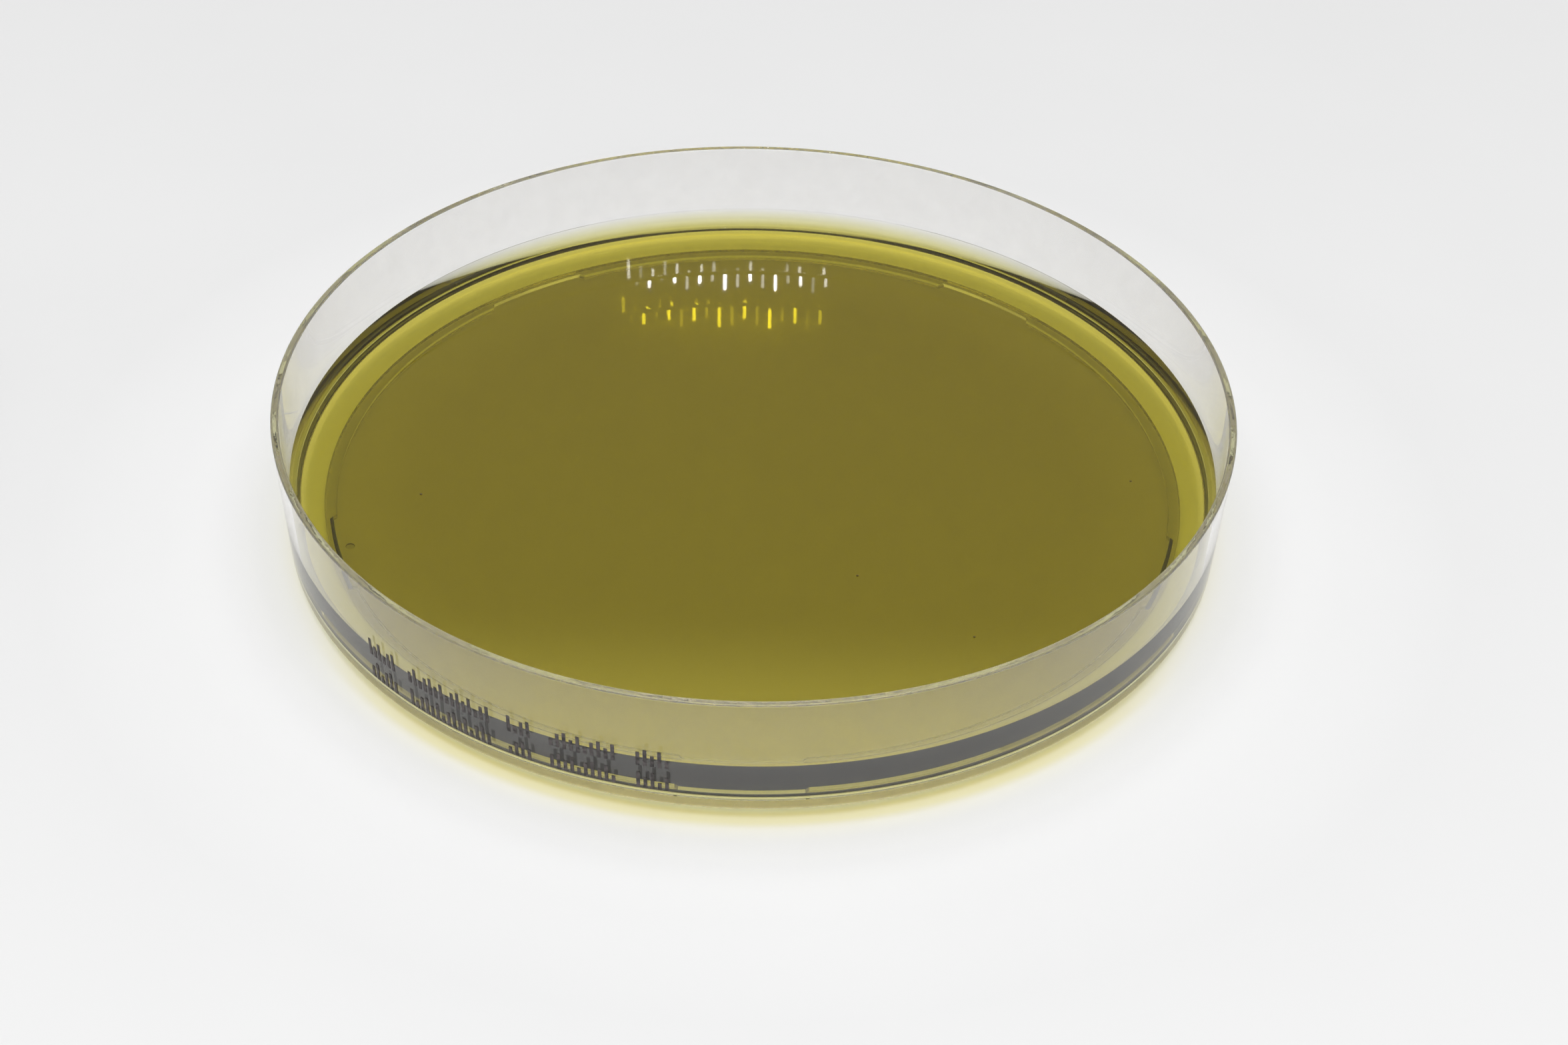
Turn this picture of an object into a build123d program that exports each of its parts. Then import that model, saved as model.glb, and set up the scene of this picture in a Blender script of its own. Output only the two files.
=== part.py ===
"""Petri dish of the 90 mm class: open base with a poured agar layer, wall marking, and its lid.

Millimetres, +Z up. The origin is on the dish's axis, in the plane of the foot ring that it stands on.
The lid is modelled where it is put down: top-down on the bench, to the left of the dish.
"""

import os
from math import cos, radians, sin, sqrt, tan

from build123d import *

# ---------------------------------------------------------------- driving dimensions
RIM_RADIUS = 44.0            # outside of the base's rim
BASE_HEIGHT = 13.0           # foot ring to rim
WALL_DRAFT = 3.7             # degrees, the mould's taper on the wall
WALL_THICKNESS = 0.72
RIM_ROUND = 0.2              # rounding of the rim's two edges
FLOOR_THICKNESS = 1.0
FOOT_HEIGHT = 0.6            # clear height under the floor
OUTER_CORNER_RADIUS = 0.85   # wall to underside
INNER_CORNER_RADIUS = 0.9    # floor to wall

# foot ring: a narrow continuous land, widened inwards by flat pads with open notches between them
FOOT_OUTER_RADIUS = 39.85
FOOT_LAND_OUTER = 39.77
FOOT_LAND_INNER = 39.42      # the land's inner edge in the notches
FOOT_NOTCH_INNER = 39.08     # where the notches' sloping inner face meets the underside
FOOT_PAD_INNER = 38.7        # where the pads' steep inner face meets the underside
FOOT_PAD_LAND_INNER = 38.8
PAD_COUNT = 5
NOTCH_ANGLE = 15.3           # degrees of open notch between two pads
FIRST_NOTCH = -90.0          # one notch faces the front

# agar: it set while the dish stood on a slight slope, so its flat top is tilted in the dish
AGAR_LEVEL = 5.15            # flat top of the gel, on the dish's axis
AGAR_TILT = 0.2              # degrees
AGAR_HIGH_SIDE = 75.0        # degrees, the direction in which the top rises
MENISCUS_RADIUS = 4.0
MENISCUS_REACH = 2.4         # how far in from the wall the top starts to curve
MENISCUS_ARC = 60.0          # degrees of arc in the cut, enough to run out through the wall

# marking on the wall: two rows of short bars
PRINT_THICKNESS = 0.04
PRINT_START = -137.5         # degrees, where both rows begin
PRINT_ROW_BOTTOMS = (5.2, 2.6)
PRINT_BAR_HEIGHTS = (1.8, 1.2, 1.8, 0.8, 1.5)
PRINT_BAR_ANGLE = 0.42
PRINT_BAR_PITCH = 0.8
PRINT_GROUPS = (6, 15, 4, 10, 5)  # bars in each group of a row
PRINT_GROUP_GAP = 2.0

# lid
LID_CLEARANCE = 0.9          # radial, base rim to lid bore at the top plate
LID_WALL = 0.8
LID_DRAFT = 2.0
LID_PLATE = 1.0
LID_SKIRT_HEIGHT = 7.6       # stacking ring to skirt edge
LID_CORNER_RADIUS = 0.9
LID_INNER_RADIUS = 0.5
STACK_RING_INNER = 40.2      # locates the foot ring of the dish stacked above
STACK_RING_WIDTH = 1.0
STACK_RING_HEIGHT = 0.5
VENT_COUNT = 3
VENT_HEIGHT = 0.4
VENT_LENGTH = 4.0
VENT_WIDTH = 1.2
LID_OFFSET = 125.0           # dish axis to the axis of the lid on the bench

# ---------------------------------------------------------------- derived sizes
floor_top = FOOT_HEIGHT + FLOOR_THICKNESS
taper = tan(radians(WALL_DRAFT))


def outer_radius(z):
    """Outside radius of the base's wall at height z."""
    return RIM_RADIUS - (BASE_HEIGHT - z) * taper


def inner_radius(z):
    """Inside radius of the base's wall at height z."""
    return outer_radius(z) - WALL_THICKNESS


def plane_at(angle):
    """The vertical plane through the dish's axis, turned to this angle, with its X axis pointing outwards."""
    return Plane.XZ.rotated((0, 0, angle))


# ---------------------------------------------------------------- base
with BuildPart() as dish_base:
    with BuildSketch(Plane.XZ) as base_section:
        with BuildLine():
            Polyline(
                (0, FOOT_HEIGHT),
                (FOOT_NOTCH_INNER, FOOT_HEIGHT),
                (FOOT_LAND_INNER, 0),
                (FOOT_LAND_OUTER, 0),
                (FOOT_OUTER_RADIUS, FOOT_HEIGHT),
                (outer_radius(FOOT_HEIGHT), FOOT_HEIGHT),
                (RIM_RADIUS, BASE_HEIGHT),
                (inner_radius(BASE_HEIGHT), BASE_HEIGHT),
                (inner_radius(floor_top), floor_top),
                (0, floor_top),
                close=True,
            )
        make_face()
        corners = base_section.vertices()
        underside_corners = corners.group_by(Axis.Y)[1]
        fillet(underside_corners.sort_by(Axis.X)[-1], radius=OUTER_CORNER_RADIUS)
        floor_corners = corners.group_by(Axis.Y)[2]
        fillet(floor_corners.sort_by(Axis.X)[-1], radius=INNER_CORNER_RADIUS)
        fillet(base_section.vertices().group_by(Axis.Y)[-1], radius=RIM_ROUND)
    revolve(axis=Axis.Z)
    pad_angle = 360 / PAD_COUNT - NOTCH_ANGLE
    for pad in range(PAD_COUNT):
        pad_start = FIRST_NOTCH + NOTCH_ANGLE / 2 + pad * 360 / PAD_COUNT
        with BuildSketch(plane_at(pad_start)):
            with BuildLine():
                Polyline(
                    (FOOT_PAD_INNER, FOOT_HEIGHT),
                    (FOOT_NOTCH_INNER, FOOT_HEIGHT),
                    (FOOT_LAND_INNER, 0),
                    (FOOT_PAD_LAND_INNER, 0),
                    close=True,
                )
            make_face()
        revolve(axis=Axis.Z, revolution_arc=pad_angle)
dish_base.part.label = "dish_base"

# ---------------------------------------------------------------- agar
meniscus_rise = MENISCUS_RADIUS - sqrt(MENISCUS_RADIUS**2 - MENISCUS_REACH**2)
contact_height = AGAR_LEVEL + meniscus_rise
flat_radius = inner_radius(contact_height) - MENISCUS_REACH
fill_top = contact_height + MENISCUS_REACH
tilt = radians(AGAR_TILT)
high_side = radians(AGAR_HIGH_SIDE)
top_centre = Vector(0, 0, AGAR_LEVEL)
top_rising = Vector(cos(tilt) * cos(high_side), cos(tilt) * sin(high_side), sin(tilt))
top_normal = Vector(-sin(tilt) * cos(high_side), -sin(tilt) * sin(high_side), cos(tilt))
with BuildPart() as agar_medium:
    with BuildSketch(Plane.XZ) as fill_section:
        with BuildLine():
            Polyline(
                (0, floor_top),
                (inner_radius(floor_top), floor_top),
                (inner_radius(fill_top), fill_top),
                (0, fill_top),
                close=True,
            )
        make_face()
        lowest = fill_section.vertices().group_by(Axis.Y)[0]
        fillet(lowest.sort_by(Axis.X)[-1], radius=INNER_CORNER_RADIUS)
    revolve(axis=Axis.Z)
    with BuildSketch(Plane(origin=top_centre, x_dir=top_rising, z_dir=top_rising.cross(top_normal))):
        with BuildLine():
            flat_top = Line((0, 0), (flat_radius, 0))
            meniscus = JernArc(flat_top @ 1, (1, 0), MENISCUS_RADIUS, MENISCUS_ARC)
            Polyline(meniscus @ 1, ((meniscus @ 1).X, MENISCUS_RADIUS), (0, MENISCUS_RADIUS), flat_top @ 0)
        make_face()
    revolve(axis=Axis(top_centre, top_normal), mode=Mode.SUBTRACT)
agar_medium.part.label = "agar_medium"

# ---------------------------------------------------------------- wall marking
with BuildPart() as wall_print:
    for row, row_bottom in enumerate(PRINT_ROW_BOTTOMS):
        angle = PRINT_START
        for group, bars in enumerate(PRINT_GROUPS):
            for bar in range(bars):
                height = PRINT_BAR_HEIGHTS[(row + group + bar) % len(PRINT_BAR_HEIGHTS)]
                bar_top = row_bottom + height
                with BuildSketch(plane_at(angle)):
                    with BuildLine():
                        Polyline(
                            (outer_radius(row_bottom), row_bottom),
                            (outer_radius(row_bottom) + PRINT_THICKNESS, row_bottom),
                            (outer_radius(bar_top) + PRINT_THICKNESS, bar_top),
                            (outer_radius(bar_top), bar_top),
                            close=True,
                        )
                    make_face()
                revolve(axis=Axis.Z, revolution_arc=PRINT_BAR_ANGLE)
                angle += PRINT_BAR_PITCH
            angle += PRINT_GROUP_GAP
wall_print.part.label = "wall_print"

# ---------------------------------------------------------------- lid, top-down on the bench
lid_centre = Vector(-LID_OFFSET, 0, 0)
lid_axis = Axis(lid_centre, (0, 0, 1))
lid_section_plane = Plane(origin=lid_centre, x_dir=(1, 0, 0), z_dir=(0, -1, 0))
plate_inside = STACK_RING_HEIGHT + LID_PLATE
bore_at_plate = RIM_RADIUS + LID_CLEARANCE
bore_at_edge = bore_at_plate + (LID_SKIRT_HEIGHT - plate_inside) * tan(radians(LID_DRAFT))
stack_ring_outer = STACK_RING_INNER + STACK_RING_WIDTH
with BuildPart() as lid:
    with BuildSketch(lid_section_plane) as lid_section:
        with BuildLine():
            Polyline(
                (0, STACK_RING_HEIGHT),
                (STACK_RING_INNER, STACK_RING_HEIGHT),
                (STACK_RING_INNER, 0),
                (stack_ring_outer, 0),
                (stack_ring_outer, STACK_RING_HEIGHT),
                (bore_at_plate + LID_WALL, STACK_RING_HEIGHT),
                (bore_at_edge + LID_WALL, LID_SKIRT_HEIGHT),
                (bore_at_edge, LID_SKIRT_HEIGHT),
                (bore_at_plate, plate_inside),
                (0, plate_inside),
                close=True,
            )
        make_face()
        corners = lid_section.vertices()
        outside_corners = corners.group_by(Axis.Y)[1]
        fillet(outside_corners.sort_by(Axis.X)[-1], radius=LID_CORNER_RADIUS)
        inside_corners = corners.group_by(Axis.Y)[2]
        fillet(inside_corners.sort_by(Axis.X)[-1], radius=LID_INNER_RADIUS)
        fillet(lid_section.vertices().group_by(Axis.Y)[-1], radius=RIM_ROUND)
    revolve(axis=lid_axis)
    with BuildSketch(Plane(origin=lid_centre + Vector(0, 0, plate_inside))):
        with PolarLocations((RIM_RADIUS + inner_radius(BASE_HEIGHT)) / 2, VENT_COUNT):
            SlotOverall(VENT_LENGTH, VENT_WIDTH, rotation=90)
    extrude(amount=VENT_HEIGHT)
lid.part.label = "lid"

# ---------------------------------------------------------------- files
os.makedirs("parts", exist_ok=True)
export_step(dish_base.part, "parts/dish_base.step")
export_step(agar_medium.part, "parts/agar_medium.step")
export_step(wall_print.part, "parts/wall_print.step")
export_step(lid.part, "parts/lid.step")
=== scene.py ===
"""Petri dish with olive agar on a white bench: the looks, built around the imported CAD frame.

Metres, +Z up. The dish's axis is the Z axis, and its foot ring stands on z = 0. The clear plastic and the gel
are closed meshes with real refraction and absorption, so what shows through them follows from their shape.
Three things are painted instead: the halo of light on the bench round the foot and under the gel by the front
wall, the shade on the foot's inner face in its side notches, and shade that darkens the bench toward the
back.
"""

from math import cos, pi, radians, sin, sqrt, tan

import bpy
from mathutils import Matrix, Vector


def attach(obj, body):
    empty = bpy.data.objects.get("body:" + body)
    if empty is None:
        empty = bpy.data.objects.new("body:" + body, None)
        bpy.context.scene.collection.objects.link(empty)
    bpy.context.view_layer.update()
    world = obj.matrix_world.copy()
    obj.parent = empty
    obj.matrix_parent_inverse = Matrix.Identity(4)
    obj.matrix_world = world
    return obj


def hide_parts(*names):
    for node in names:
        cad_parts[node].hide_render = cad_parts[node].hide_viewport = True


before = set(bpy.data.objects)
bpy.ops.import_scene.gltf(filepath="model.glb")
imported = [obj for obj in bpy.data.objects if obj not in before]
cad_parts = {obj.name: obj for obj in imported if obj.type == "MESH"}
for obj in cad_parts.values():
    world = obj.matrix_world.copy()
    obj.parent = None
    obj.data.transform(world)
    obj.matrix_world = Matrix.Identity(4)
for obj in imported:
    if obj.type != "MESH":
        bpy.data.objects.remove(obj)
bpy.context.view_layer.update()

MM = 0.001

# ---------------------------------------------------------------- the dish, in millimetres
RIM_RADIUS = 44.0
BASE_HEIGHT = 13.0
WALL_DRAFT = 3.7                 # degrees
WALL_THICKNESS = 0.72
RIM_ROUND = 0.2
FLOOR_THICKNESS = 1.0
FOOT_HEIGHT = 0.6
OUTER_CORNER_RADIUS = 0.85
INNER_CORNER_RADIUS = 0.9
FOOT_OUTER_RADIUS = 39.85
FOOT_LAND_OUTER = 39.77
FOOT_LAND_INNER = 39.42
FOOT_NOTCH_INNER = 39.08
FOOT_PAD_INNER = 38.7
FOOT_PAD_LAND_INNER = 38.8
PAD_COUNT = 5
NOTCH_ANGLE = 15.3
FIRST_NOTCH = -90.0

# ---------------------------------------------------------------- the gel, in millimetres
AGAR_LEVEL = 5.15
AGAR_TILT = 0.2                  # degrees
AGAR_HIGH_SIDE = 75.0            # degrees
MENISCUS_RADIUS = 4.0
MENISCUS_REACH = 2.4
WETTING = 0.03                   # how far the gel's mesh reaches into the plastic, so that no air film shows

BUBBLES = (                      # centre and radii of air trapped in the gel
    ((-36.2, -12.2, 1.8), (0.42, 0.42, 0.06)),
    ((-41.5, 6.0, 4.6), (0.14, 0.14, 0.14)),
)
SPECKS = (                       # x, y and size of grains lying on the gel
    (-30.3, -6.7, 0.13),
    (9.6, -17.0, 0.12),
    (19.7, -25.1, 0.11),
    (35.0, -1.9, 0.12),
)
SPECK_PROPORTIONS = (1.0, 0.7, 0.5)

# ---------------------------------------------------------------- the lid, in millimetres
LID_OFFSET = 125.0
LID_CLEARANCE = 0.9
LID_WALL = 0.8
LID_DRAFT = 2.0                  # degrees
LID_PLATE = 1.0
LID_SKIRT_HEIGHT = 7.6
LID_CORNER_RADIUS = 0.9
LID_INNER_RADIUS = 0.5
STACK_RING_INNER = 40.2
STACK_RING_WIDTH = 1.0
STACK_RING_HEIGHT = 0.5
VENT_COUNT = 3
VENT_HEIGHT = 0.4
VENT_LENGTH = 4.0
VENT_WIDTH = 1.2
VENT_EDGE = 0.1                  # bevel on the rib's top

# ---------------------------------------------------------------- mesh detail
ROUND_STEPS = 720                # facets round the dish
FILLET_STEPS = 12
MENISCUS_STEPS = 24
VENT_END_STEPS = 12
BALL_RINGS = 16
BALL_STEPS = 32
GUARD = 0.02                     # a ring this far before and after each arc keeps the flats' shading flat
SHARP_ANGLE = 14                 # degrees
BALL_SHARP_ANGLE = 80

# ---------------------------------------------------------------- materials; densities are per metre
PLASTIC_IOR = 1.59
PLASTIC_TINT = (0.9, 0.88, 0.83, 1)
PLASTIC_DENSITY = 45.0
GEL_IOR = 1.34
GEL_TINT = (0.865, 0.82, 0.12, 1)
GEL_DENSITY = 600.0
WHITE = (1.0, 1.0, 1.0, 1)
FULL_RANGE = (0.0, 1.0)

LAND_ROUGHNESS = 0.5
UNDERSIDE_ROUGHNESS = 0.045
GEL_ROUGHNESS = (0.006, 0.02)
BUBBLE_ROUGHNESS = (0.02, 0.12)
INK_ROUGHNESS = 0.6
SPECK_ROUGHNESS = 0.7
BENCH_ROUGHNESS = 0.55

# noises: scale per metre, then detail and roughness where they matter
RIM_GRAIN = (900.0, 3.0)
SCUFF_GRAIN = (260.0, 6.0, 0.7)
GEL_GRAIN = (140.0, 3.0)
INK_GRAIN = (2600.0, 2.0)
BUBBLE_GRAIN = (3000.0,)
SPECK_GRAIN = (9000.0,)
BENCH_GRAIN = (35.0, 4.0)

RIM_GRAIN_DEPTH = 0.12           # mm
RIM_GRAIN_BELOW = (0.35, 0.05)   # mm under the rim, where the unevenness starts and is full
RIM_GRAIN_STRENGTH = 0.35
SCUFF_CONTRAST = (0.35, 0.8)     # the noise's range that goes from fewest to most scuffs
SCUFF_AMOUNTS = (0.02, 0.08)
SCUFF_HEIGHTS = (AGAR_LEVEL - 0.4, AGAR_LEVEL + 1.2)  # mm, from where the gel wets the wall to the dry wall
SCUFF_SHARE_ON_GEL = 0.1
SCUFF_COLOUR = (0.93, 0.9, 0.86, 1)
# painted shade on the foot's inner face in the side notches: its colour, how strongly it shows, and where it
# lies
PAINTED_SHADE_COLOUR = (0.03, 0.03, 0.02, 1)
PAINTED_SHADE_AMOUNT = 0.85
PAINTED_SHADE_MIDDLE = -4.0          # where the painted shade lies on the foot's inner face, as Y in mm: middle and half-length
PAINTED_SHADE_REACH = 18.0
INK_CONTRAST = (0.3, 0.7)
INK_TONES = (0.02, 0.12)
INK_WARMTH = 0.85                # green and blue, as shares of red
SPECK_DARK = (0.05, 0.035, 0.02, 1)
SPECK_LIGHT = (0.14, 0.1, 0.05, 1)

# ---------------------------------------------------------------- bench and light
BENCH_HALF_SIZE = 3.0
BENCH_DROP = 3e-5                # a gap under the foot, so that the two faces don't coincide
BENCH_TONES = (0.86, 0.89)
BENCH_SHADE_EDGES = (-0.07, 0.1)  # painted shade: the bench darkens a little toward the back, between this Y and this Y
BENCH_SHADE = (1.0, 0.9)
# painted light: the bench glows round the foot and under the gel by the front wall, though it is no lamp
FRONT_EDGE = (-0.018, -0.037)    # the Y range over which the front's light takes over
FRONT_GLOW = 0.22                # extra light under the gel by the front wall
GLOW_RADIUS = 39.7               # mm
HALO_START = 30.0                # mm from the axis
HALO_END = 80.0
HALO_FRONT = (                   # radius in mm, then the red, green and blue light added there, at the front
    (31.0, 0.0, 0.0, 0.0),
    (38.4, 0.03, 0.03, 0.02),
    (39.7, 0.1, 0.1, 0.06),
    (40.1, 0.28, 0.28, 0.15),
    (42.2, 0.28, 0.28, 0.12),
    (42.7, 0.28, 0.23, 0.0),
    (43.7, 0.28, 0.24, 0.0),
    (44.6, 0.3, 0.29, 0.22),
    (46.0, 0.19, 0.19, 0.18),
    (49.0, 0.1, 0.1, 0.1),
    (55.0, 0.05, 0.05, 0.05),
    (66.0, 0.0, 0.0, 0.0),
)
HALO_SIDES = (                   # the same, elsewhere
    (31.0, 0.0, 0.0, 0.0),
    (38.4, 0.03, 0.03, 0.02),
    (39.7, 0.1, 0.1, 0.06),
    (40.1, 0.27, 0.28, 0.15),
    (42.4, 0.27, 0.28, 0.17),
    (43.2, 0.29, 0.28, 0.23),
    (44.6, 0.24, 0.24, 0.22),
    (46.0, 0.17, 0.17, 0.16),
    (49.0, 0.1, 0.1, 0.1),
    (55.0, 0.05, 0.05, 0.05),
    (66.0, 0.0, 0.0, 0.0),
)

SKY_SIDES = 0.58
SKY_TOP = 2.4
SKY_RISE = (52, 70)              # degrees above the horizon, between which the sky brightens

LAMP_COUNT = 17
LAMP_SPACING = 0.00865
LAMP_CENTRE = Vector((-0.0436, 1.5, 0.969))
LAMP_SIZE = (0.0019, 0.013)
LAMP_RADIANCE = 42.0
LAMP_END_LOSS = 0.85             # how much dimmer the row's ends are
LAMP_ODD_SHARE = 0.15            # every second lamp is this much of its neighbours
LAMP_WAVER = 0.004               # the row isn't quite level
LAMP_WAVER_STEP = 4.4            # radians of waver from one lamp to the next

# ---------------------------------------------------------------- camera
CAMERA_PLACE = (0.00296, -0.22536, 0.17109)
CAMERA_PITCH = 37.555            # degrees below the horizon
CAMERA_ROLL = 1.487              # degrees
FOCAL_LENGTH = 68.88             # mm
SENSOR_WIDTH = 36.0              # mm
CLIP_START = 0.01
MAX_BOUNCES = 96                 # light crosses many faces of clear plastic before it leaves
DIFFUSE_BOUNCES = 4
TRANSPARENT_BOUNCES = 32

# ---------------------------------------------------------------- derived sizes, in millimetres
floor_top = FOOT_HEIGHT + FLOOR_THICKNESS
lid_plate_inside = STACK_RING_HEIGHT + LID_PLATE
meniscus_rise = MENISCUS_RADIUS - sqrt(MENISCUS_RADIUS ** 2 - MENISCUS_REACH ** 2)


def outer_radius(z):
    return RIM_RADIUS - (BASE_HEIGHT - z) * tan(radians(WALL_DRAFT))


def inner_radius(z):
    return outer_radius(z) - WALL_THICKNESS


rim_middle = (RIM_RADIUS + inner_radius(BASE_HEIGHT)) / 2


# ---------------------------------------------------------------- mesh helpers
def rounded(points, radii):
    """A profile of (r, z) points with corners replaced by arcs. radii maps a point's index to its radius."""
    out = []
    for i, point in enumerate(points):
        radius = radii.get(i)
        if not radius:
            out.append(point)
            continue
        here = Vector(point)
        back = (Vector(points[i - 1]) - here).normalized()
        ahead = (Vector(points[(i + 1) % len(points)]) - here).normalized()
        half = back.angle(ahead) / 2
        reach = radius / tan(half)
        centre = here + (back + ahead).normalized() * radius / sin(half)
        first = here + back * reach - centre
        last = here + ahead * reach - centre
        sweep = first.angle_signed(last)
        out.append(tuple(here + back * (reach + GUARD)))
        for k in range(FILLET_STEPS + 1):
            turn = Matrix.Rotation(-sweep * k / FILLET_STEPS, 2)
            out.append(tuple(centre + turn @ first))
        out.append(tuple(here + ahead * (reach + GUARD)))
    return out


def mesh_object(name, verts, faces, sharp_angle=SHARP_ANGLE):
    """A mesh object from plain lists in mm, shaded smooth except across edges sharper than sharp_angle."""
    mesh = bpy.data.meshes.new(name)
    mesh.from_pydata([(x * MM, y * MM, z * MM) for x, y, z in verts], [], faces)
    mesh.validate()
    mesh.polygons.foreach_set("use_smooth", [True] * len(mesh.polygons))
    mesh.set_sharp_from_angle(angle=radians(sharp_angle))
    obj = bpy.data.objects.new(name, mesh)
    bpy.context.scene.collection.objects.link(obj)
    return obj


def revolved(name, profile_at, centre_x=0.0):
    """A closed solid of revolution about an upright axis.

    profile_at(angle) gives (r, z) points in mm. Its first and last points are on the axis.
    """
    verts = []
    rings = []
    for step in range(ROUND_STEPS):
        angle = 360 * step / ROUND_STEPS
        profile = profile_at(angle)
        ring = []
        for r, z in profile[1:-1]:
            ring.append(len(verts))
            verts.append((centre_x + r * cos(radians(angle)), r * sin(radians(angle)), z))
        rings.append(ring)
    bottom = len(verts)
    verts.append((centre_x, 0, profile[0][1]))
    top = len(verts)
    verts.append((centre_x, 0, profile[-1][1]))
    faces = []
    for step, ring in enumerate(rings):
        after = rings[(step + 1) % ROUND_STEPS]
        for j in range(len(ring) - 1):
            faces.append((ring[j], after[j], after[j + 1], ring[j + 1]))
        faces.append((bottom, after[0], ring[0]))
        faces.append((top, ring[-1], after[-1]))
    return mesh_object(name, verts, faces)


# ---------------------------------------------------------------- node helpers
class Nodes:
    """A node tree, with short ways to make and join its nodes."""

    def __init__(self, tree):
        self.tree = tree

    def link(self, source, target):
        self.tree.links.new(source, target)

    def add(self, kind, sockets=None, **settings):
        """A node with these settings. A socket is given a plain value, or the output that feeds it."""
        node = self.tree.nodes.new(kind)
        for key, value in settings.items():
            setattr(node, key, value)
        for key, value in (sockets or {}).items():
            if isinstance(value, bpy.types.NodeSocket):
                self.link(value, node.inputs[key])
            else:
                node.inputs[key].default_value = value
        return node

    def object_place(self):
        return self.add("ShaderNodeTexCoord").outputs["Object"]

    def axes(self, vector):
        return self.add("ShaderNodeSeparateXYZ", {"Vector": vector}).outputs

    def axis_distance(self, vector):
        """How far a place is from the Z axis."""
        flat = self.add("ShaderNodeVectorMath", {0: vector, 1: (1, 1, 0)}, operation="MULTIPLY")
        length = self.add("ShaderNodeVectorMath", {0: flat.outputs["Vector"]}, operation="LENGTH")
        return length.outputs["Value"]

    def noise(self, vector, scale, detail=2.0, roughness=0.5):
        sockets = {"Vector": vector, "Scale": scale, "Detail": detail, "Roughness": roughness}
        return self.add("ShaderNodeTexNoise", sockets).outputs["Fac"]

    def maths(self, operation, first, second):
        return self.add("ShaderNodeMath", {0: first, 1: second}, operation=operation).outputs["Value"]

    def within(self, value, middle, reach):
        """1 where the value, in metres, is no further than reach from middle, both in mm, and 0 elsewhere."""
        sockets = {0: value, 1: middle * MM, 2: reach * MM}
        return self.add("ShaderNodeMath", sockets, operation="COMPARE").outputs["Value"]

    def mapped(self, value, old, new=FULL_RANGE, curve="LINEAR"):
        """The value moved from the range old to the range new, and held inside it."""
        sockets = {"Value": value, "From Min": old[0], "From Max": old[1], "To Min": new[0], "To Max": new[1]}
        return self.add("ShaderNodeMapRange", sockets, interpolation_type=curve).outputs["Result"]

    def colour(self, red, green, blue):
        return self.add("ShaderNodeCombineColor", {"Red": red, "Green": green, "Blue": blue}).outputs["Color"]

    def mixed_colour(self, amount, first, second):
        """A Mix node's colours go in at sockets 6 and 7 and come out at socket 2."""
        return self.add("ShaderNodeMix", {0: amount, 6: first, 7: second}, data_type="RGBA").outputs[2]

    def mixed_shader(self, amount, first, second):
        return self.add("ShaderNodeMixShader", {0: amount, 1: first, 2: second}).outputs["Shader"]

    def principled(self, sockets):
        return self.add("ShaderNodeBsdfPrincipled", sockets).outputs["BSDF"]

    def absorption(self, tint, density):
        return self.add("ShaderNodeVolumeAbsorption", {"Color": tint, "Density": density}).outputs["Volume"]

    def output(self, sockets):
        self.add("ShaderNodeOutputMaterial", sockets)


def new_material(name):
    material = bpy.data.materials.new(name)
    material.use_nodes = True
    material.node_tree.nodes.clear()
    return material, Nodes(material.node_tree)


# ---------------------------------------------------------------- materials
def clear_plastic():
    """Moulded polystyrene: clear, faintly warm, with an uneven rim, faint scuffs, a worn foot, and painted
    shade on the foot's inner face in the side notches.
    """
    material, n = new_material("clear_polystyrene")
    place = n.object_place()
    z = n.axes(place)["Z"]
    # the lands are frosted by wear, and the underside has the mould's fine texture
    frosted = n.maths("MULTIPLY", n.within(z, 0.0, GUARD), LAND_ROUGHNESS)
    textured = n.maths("MULTIPLY", n.within(z, FOOT_HEIGHT, GUARD / 4), UNDERSIDE_ROUGHNESS)
    # the trimmed rim is uneven
    rim_band = [(BASE_HEIGHT - below) * MM for below in RIM_GRAIN_BELOW]
    rim_relief = n.add("ShaderNodeBump", {
        "Distance": RIM_GRAIN_DEPTH * MM,
        "Strength": n.mapped(z, rim_band, (0.0, RIM_GRAIN_STRENGTH)),
        "Height": n.noise(place, *RIM_GRAIN),
    })
    clear = n.principled({
        "Base Color": WHITE,
        "IOR": PLASTIC_IOR,
        "Transmission Weight": 1.0,
        "Roughness": n.maths("ADD", frosted, textured),
        "Normal": rim_relief.outputs["Normal"],
    })
    # sparse milky scuffs, which hardly show where the gel wets the wall
    scuffs = n.mapped(n.noise(place, *SCUFF_GRAIN), SCUFF_CONTRAST, SCUFF_AMOUNTS)
    dry = n.mapped(z, [height * MM for height in SCUFF_HEIGHTS], (SCUFF_SHARE_ON_GEL, 1.0))
    milky = n.add("ShaderNodeBsdfTranslucent", {"Color": SCUFF_COLOUR}).outputs["BSDF"]
    scuffed = n.mixed_shader(n.maths("MULTIPLY", scuffs, dry), clear, milky)
    # painted shade: the foot's sloping inner face is painted dark in the notches at the left and the right
    face_middle = (FOOT_LAND_INNER + FOOT_NOTCH_INNER) / 2
    on_face = n.within(n.axis_distance(place), face_middle, FOOT_LAND_INNER - GUARD - face_middle)
    below_floor = n.within(z, FOOT_HEIGHT / 2, FOOT_HEIGHT / 2 - GUARD)
    sideways = n.within(n.axes(place)["Y"], PAINTED_SHADE_MIDDLE, PAINTED_SHADE_REACH)
    painted_shade = n.maths("MULTIPLY", n.maths("MULTIPLY", on_face, below_floor), sideways)
    painted_shade_shader = n.add("ShaderNodeBsdfDiffuse", {"Color": PAINTED_SHADE_COLOUR}).outputs["BSDF"]
    n.output({
        "Surface": n.mixed_shader(n.maths("MULTIPLY", painted_shade, PAINTED_SHADE_AMOUNT), scuffed, painted_shade_shader),
        "Volume": n.absorption(PLASTIC_TINT, PLASTIC_DENSITY),
    })
    return material


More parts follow.
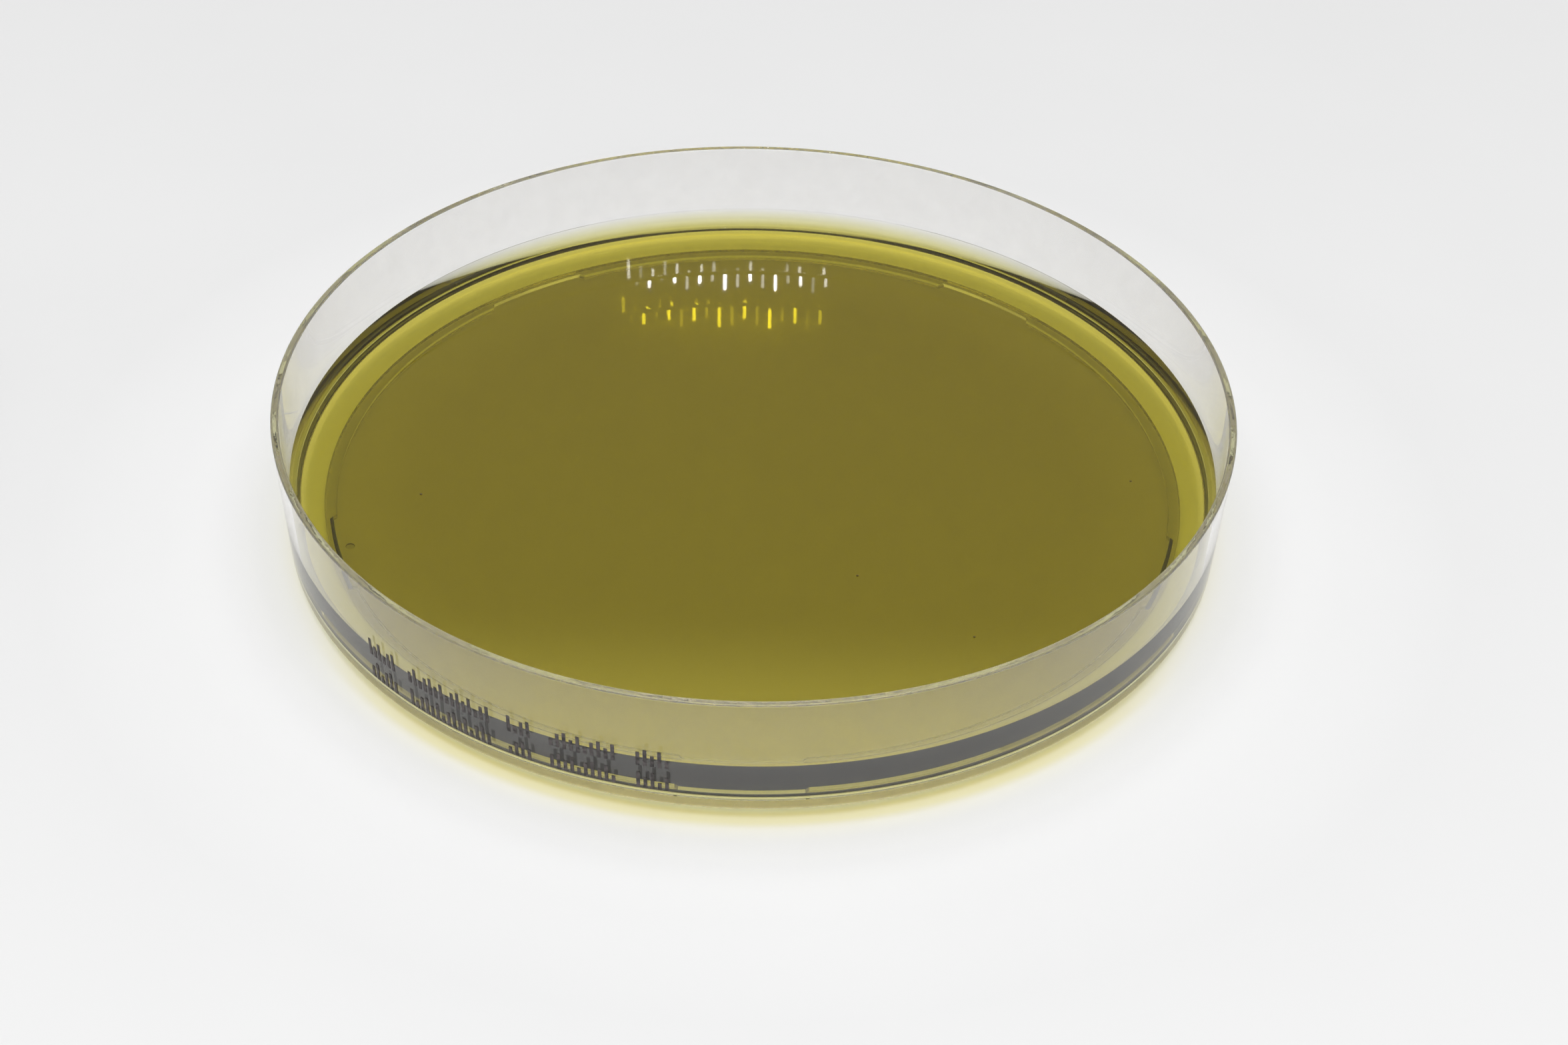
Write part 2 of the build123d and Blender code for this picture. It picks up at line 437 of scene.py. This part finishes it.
def agar_gel():
    """Clear olive gel, coloured only by how far light travels through it."""
    material, n = new_material("agar")
    wet = n.principled({
        "Base Color": WHITE,
        "IOR": GEL_IOR,
        "Transmission Weight": 1.0,
        "Roughness": n.mapped(n.noise(n.object_place(), *GEL_GRAIN), FULL_RANGE, GEL_ROUGHNESS),
    })
    n.output({"Surface": wet, "Volume": n.absorption(GEL_TINT, GEL_DENSITY)})
    return material


def ink():
    """Inkjet black, patchy where the drops missed."""
    material, n = new_material("ink")
    tone = n.mapped(n.noise(n.object_place(), *INK_GRAIN), INK_CONTRAST, INK_TONES)
    darker = n.maths("MULTIPLY", tone, INK_WARMTH)
    black = n.colour(tone, darker, darker)
    n.output({"Surface": n.principled({"Base Color": black, "Roughness": INK_ROUGHNESS})})
    return material


def bubble_skin():
    """The gel's inner surface round a trapped bubble, a little uneven."""
    material, n = new_material("bubble_skin")
    skin_shader = n.principled({
        "IOR": GEL_IOR,
        "Transmission Weight": 1.0,
        "Roughness": n.mapped(n.noise(n.object_place(), *BUBBLE_GRAIN), FULL_RANGE, BUBBLE_ROUGHNESS),
    })
    n.output({"Surface": skin_shader})
    return material


def speck_brown():
    """An undissolved grain of the medium: brown and uneven."""
    material, n = new_material("speck_brown")
    tone = n.mixed_colour(n.noise(n.object_place(), *SPECK_GRAIN), SPECK_DARK, SPECK_LIGHT)
    n.output({"Surface": n.principled({"Base Color": tone, "Roughness": SPECK_ROUGHNESS})})
    return material


def halo_ramp(n, span, levels):
    """A colour ramp over the distance from the axis, from a list of (radius, red, green, blue)."""
    ramp = n.add("ShaderNodeValToRGB", {"Fac": span})
    for at, red, green, blue in levels:
        stop = ramp.color_ramp.elements.new((at - HALO_START) / (HALO_END - HALO_START))
        stop.color = (red, green, blue, 1)
    ramp.color_ramp.elements.remove(ramp.color_ramp.elements[0])
    ramp.color_ramp.elements.remove(ramp.color_ramp.elements[-1])
    return ramp.outputs["Color"]


def bench_white():
    """White laminate, faintly mottled, with a painted halo for the light that gathers round the foot, and
    painted shade that darkens it toward the back.
    """
    material, n = new_material("bench_white")
    place = n.object_place()
    y = n.axes(place)["Y"]
    distance = n.axis_distance(place)
    mottle = n.mapped(n.noise(place, *BENCH_GRAIN), FULL_RANGE, BENCH_TONES)
    # painted shade: the bench's colour darkens toward the back
    tone = n.maths("MULTIPLY", mottle, n.mapped(y, BENCH_SHADE_EDGES, BENCH_SHADE))
    span = n.mapped(distance, (HALO_START * MM, HALO_END * MM))
    front = n.mapped(y, FRONT_EDGE, curve="SMOOTHSTEP")
    halo = n.mixed_colour(front, halo_ramp(n, span, HALO_SIDES), halo_ramp(n, span, HALO_FRONT))
    inside_foot = n.maths("LESS_THAN", distance, GLOW_RADIUS * MM)
    under_gel = n.maths("MULTIPLY", n.maths("MULTIPLY", front, FRONT_GLOW), inside_foot)
    light = n.add("ShaderNodeVectorMath", {0: halo, 1: under_gel}, operation="ADD").outputs["Vector"]
    n.output({"Surface": n.principled({
        "Base Color": n.colour(tone, tone, tone),
        "Roughness": BENCH_ROUGHNESS,
        "Emission Color": light,
        "Emission Strength": 1.0,
    })})
    return material


# ---------------------------------------------------------------- dish
def dish_profile(foot_inner, land_inner):
    """The base's section, with the foot's inner face running from foot_inner at the floor to land_inner."""
    points = [
        (0, FOOT_HEIGHT),
        (foot_inner, FOOT_HEIGHT),
        (land_inner, 0),
        (FOOT_LAND_OUTER, 0),
        (FOOT_OUTER_RADIUS, FOOT_HEIGHT),
        (outer_radius(FOOT_HEIGHT), FOOT_HEIGHT),
        (RIM_RADIUS, BASE_HEIGHT),
        (inner_radius(BASE_HEIGHT), BASE_HEIGHT),
        (inner_radius(floor_top), floor_top),
        (0, floor_top),
    ]
    return rounded(points, {5: OUTER_CORNER_RADIUS, 6: RIM_ROUND, 7: RIM_ROUND, 8: INNER_CORNER_RADIUS})


def make_dish():
    pad = dish_profile(FOOT_PAD_INNER, FOOT_PAD_LAND_INNER)
    notch = dish_profile(FOOT_NOTCH_INNER, FOOT_LAND_INNER)

    def profile_at(angle):
        half_share = 180 / PAD_COUNT
        from_notch = (angle - FIRST_NOTCH + half_share) % (2 * half_share) - half_share
        return notch if abs(from_notch) < NOTCH_ANGLE / 2 else pad

    return revolved("dish_shell", profile_at)


# ---------------------------------------------------------------- gel, its bubbles and its specks
def agar_profile(angle):
    """The gel's section at this angle: its wet floor and wall, the meniscus, and the tilted flat top."""
    slope = tan(radians(AGAR_TILT)) * cos(radians(angle - AGAR_HIGH_SIDE))
    contact = AGAR_LEVEL + meniscus_rise + slope * inner_radius(AGAR_LEVEL)
    wall = inner_radius(contact) + WETTING
    start = wall - MENISCUS_REACH
    points = [
        (0, floor_top - WETTING),
        (inner_radius(floor_top) + WETTING, floor_top - WETTING),
        (wall, contact),
        (0, contact),
    ]
    profile = rounded(points, {1: INNER_CORNER_RADIUS})[:-1]
    for k in range(MENISCUS_STEPS - 1, -1, -1):
        out = MENISCUS_REACH * k / MENISCUS_STEPS
        rise = MENISCUS_RADIUS - sqrt(MENISCUS_RADIUS ** 2 - out ** 2)
        profile.append((start + out, AGAR_LEVEL + slope * (start + out) + rise))
    profile.append((start - GUARD, AGAR_LEVEL + slope * (start - GUARD)))
    profile.append((0, AGAR_LEVEL))
    return profile


def make_ball(name, centre, radii, inward=False):
    """A small ellipsoid, in mm. inward turns its faces inside out, for a bubble of air."""
    x, y, z = centre
    verts = [(x, y, z + radii[2])]
    for i in range(1, BALL_RINGS):
        polar = pi * i / BALL_RINGS
        reach_x = radii[0] * sin(polar)
        reach_y = radii[1] * sin(polar)
        for k in range(BALL_STEPS):
            turn = 2 * pi * k / BALL_STEPS
            verts.append((x + reach_x * cos(turn), y + reach_y * sin(turn), z + radii[2] * cos(polar)))
    last = len(verts)
    verts.append((x, y, z - radii[2]))
    faces = []
    for k in range(BALL_STEPS):
        after = (k + 1) % BALL_STEPS
        faces.append((0, 1 + k, 1 + after))
        faces.append((last, last - BALL_STEPS + after, last - BALL_STEPS + k))
        for i in range(BALL_RINGS - 2):
            row = 1 + i * BALL_STEPS
            faces.append((row + k, row + BALL_STEPS + k, row + BALL_STEPS + after, row + after))
    if inward:
        faces = [tuple(reversed(face)) for face in faces]
    return mesh_object(name, verts, faces, BALL_SHARP_ANGLE)


# ---------------------------------------------------------------- lid
def make_lid():
    bore = RIM_RADIUS + LID_CLEARANCE
    edge = bore + (LID_SKIRT_HEIGHT - lid_plate_inside) * tan(radians(LID_DRAFT))
    ring_outer = STACK_RING_INNER + STACK_RING_WIDTH
    points = [
        (0, STACK_RING_HEIGHT),
        (STACK_RING_INNER, STACK_RING_HEIGHT),
        (STACK_RING_INNER, 0),
        (ring_outer, 0),
        (ring_outer, STACK_RING_HEIGHT),
        (bore + LID_WALL, STACK_RING_HEIGHT),
        (edge + LID_WALL, LID_SKIRT_HEIGHT),
        (edge, LID_SKIRT_HEIGHT),
        (bore, lid_plate_inside),
        (0, lid_plate_inside),
    ]
    profile = rounded(points, {5: LID_CORNER_RADIUS, 6: RIM_ROUND, 7: RIM_ROUND, 8: LID_INNER_RADIUS})
    return revolved("lid_shell", lambda angle: profile, centre_x=-LID_OFFSET)


def make_vent(index):
    """One of the low ribs inside the lid's plate that keep it off the rim, with round ends."""
    bottom = lid_plate_inside - WETTING
    top = lid_plate_inside + VENT_HEIGHT
    end_radius = VENT_WIDTH / 2
    half_straight = VENT_LENGTH / 2 - end_radius
    turn = radians(360 * index / VENT_COUNT)
    outline = []
    for side in (1, -1):
        for k in range(VENT_END_STEPS + 1):
            a = pi * k / VENT_END_STEPS
            outline.append((side * end_radius * cos(a), side * (half_straight + end_radius * sin(a))))
    verts = []
    for z, shrink in ((bottom, 0.0), (top - VENT_EDGE, 0.0), (top, VENT_EDGE)):
        scale = 1 - shrink / end_radius
        for u, v in outline:
            r = rim_middle + u * scale
            along = v * scale
            x = -LID_OFFSET + r * cos(turn) - along * sin(turn)
            y = r * sin(turn) + along * cos(turn)
            verts.append((x, y, z))
    count = len(outline)
    faces = [tuple(reversed(range(count))), tuple(range(2 * count, 3 * count))]
    for level in (0, count):
        for k in range(count):
            after = (k + 1) % count
            faces.append((level + k, level + after, level + count + after, level + count + k))
    return mesh_object(f"lid_vent_{index}", verts, faces)


# ---------------------------------------------------------------- the object
plastic = clear_plastic()

dish = make_dish()
dish.data.materials.append(plastic)
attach(dish, "base")
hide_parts("dish_base")

agar = revolved("agar_gel", agar_profile)
agar.data.materials.append(agar_gel())
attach(agar, "base")
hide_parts("agar_medium")

lid = make_lid()
lid.data.materials.append(plastic)
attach(lid, "lid")
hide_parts("lid")

for vent in range(VENT_COUNT):
    rib = make_vent(vent)
    rib.data.materials.append(plastic)
    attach(rib, "lid")

skin = bubble_skin()
for index, (centre, radii) in enumerate(BUBBLES):
    bubble = make_ball(f"bubble_{index}", centre, radii, inward=True)
    bubble.data.materials.append(skin)
    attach(bubble, "base")

grain_brown = speck_brown()
for index, (x, y, size) in enumerate(SPECKS):
    speck = make_ball(f"speck_{index}", (x, y, AGAR_LEVEL), [size * share for share in SPECK_PROPORTIONS])
    speck.data.materials.append(grain_brown)
    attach(speck, "base")

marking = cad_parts["wall_print"]
marking.data.materials.clear()
marking.data.materials.append(ink())

# ---------------------------------------------------------------- stage
scene = bpy.context.scene

bench_corners = [(-1, -1), (1, -1), (1, 1), (-1, 1)]
bench_mesh = bpy.data.meshes.new("bench")
bench_verts = [(BENCH_HALF_SIZE * x, BENCH_HALF_SIZE * y, -BENCH_DROP) for x, y in bench_corners]
bench_mesh.from_pydata(bench_verts, [], [(0, 1, 2, 3)])
bench = bpy.data.objects.new("bench", bench_mesh)
scene.collection.objects.link(bench)
bench.data.materials.append(bench_white())

world = bpy.data.worlds.new("studio")
scene.world = world
world.use_nodes = True
sky = Nodes(world.node_tree)
height = sky.axes(sky.add("ShaderNodeTexCoord").outputs["Generated"])["Z"]
sky_rise = [sin(radians(angle)) for angle in SKY_RISE]
background = world.node_tree.nodes["Background"]
background.inputs["Color"].default_value = WHITE
sky.link(sky.mapped(height, sky_rise, (SKY_SIDES, SKY_TOP), "SMOOTHSTEP"), background.inputs["Strength"])

# a row of narrow ceiling slots behind the dish, seen only as streaks on the wet gel
for k in range(LAMP_COUNT):
    from_middle = (k - (LAMP_COUNT - 1) / 2) / (LAMP_COUNT / 2)
    level = 1.0 - LAMP_END_LOSS * from_middle ** 2
    if k % 2:
        level *= LAMP_ODD_SHARE
    data = bpy.data.lights.new(f"slot_{k}", "AREA")
    data.shape = "RECTANGLE"
    data.size, data.size_y = LAMP_SIZE
    data.energy = LAMP_RADIANCE * level * pi * data.size * data.size_y
    lamp = bpy.data.objects.new(f"slot_{k}", data)
    across = from_middle * LAMP_SPACING * LAMP_COUNT / 2
    lamp.location = LAMP_CENTRE + Vector((across, 0, -LAMP_WAVER * cos(LAMP_WAVER_STEP * k)))
    lamp.rotation_euler = (-lamp.location).to_track_quat("-Z", "Y").to_euler()
    lamp.visible_diffuse = False
    lamp.visible_camera = False
    scene.collection.objects.link(lamp)

camera = bpy.data.objects.new("camera", bpy.data.cameras.new("camera"))
scene.collection.objects.link(camera)
camera.data.lens = FOCAL_LENGTH
camera.data.sensor_width = SENSOR_WIDTH
camera.data.clip_start = CLIP_START
camera.matrix_world = (
    Matrix.Translation(CAMERA_PLACE)
    @ Matrix.Rotation(radians(90 - CAMERA_PITCH), 4, "X")
    @ Matrix.Rotation(radians(CAMERA_ROLL), 4, "Z")
)
scene.camera = camera

scene.view_settings.view_transform = "Standard"
scene.cycles.max_bounces = MAX_BOUNCES
scene.cycles.transmission_bounces = MAX_BOUNCES
scene.cycles.glossy_bounces = MAX_BOUNCES
scene.cycles.diffuse_bounces = DIFFUSE_BOUNCES
scene.cycles.transparent_max_bounces = TRANSPARENT_BOUNCES
scene.cycles.use_denoising = True
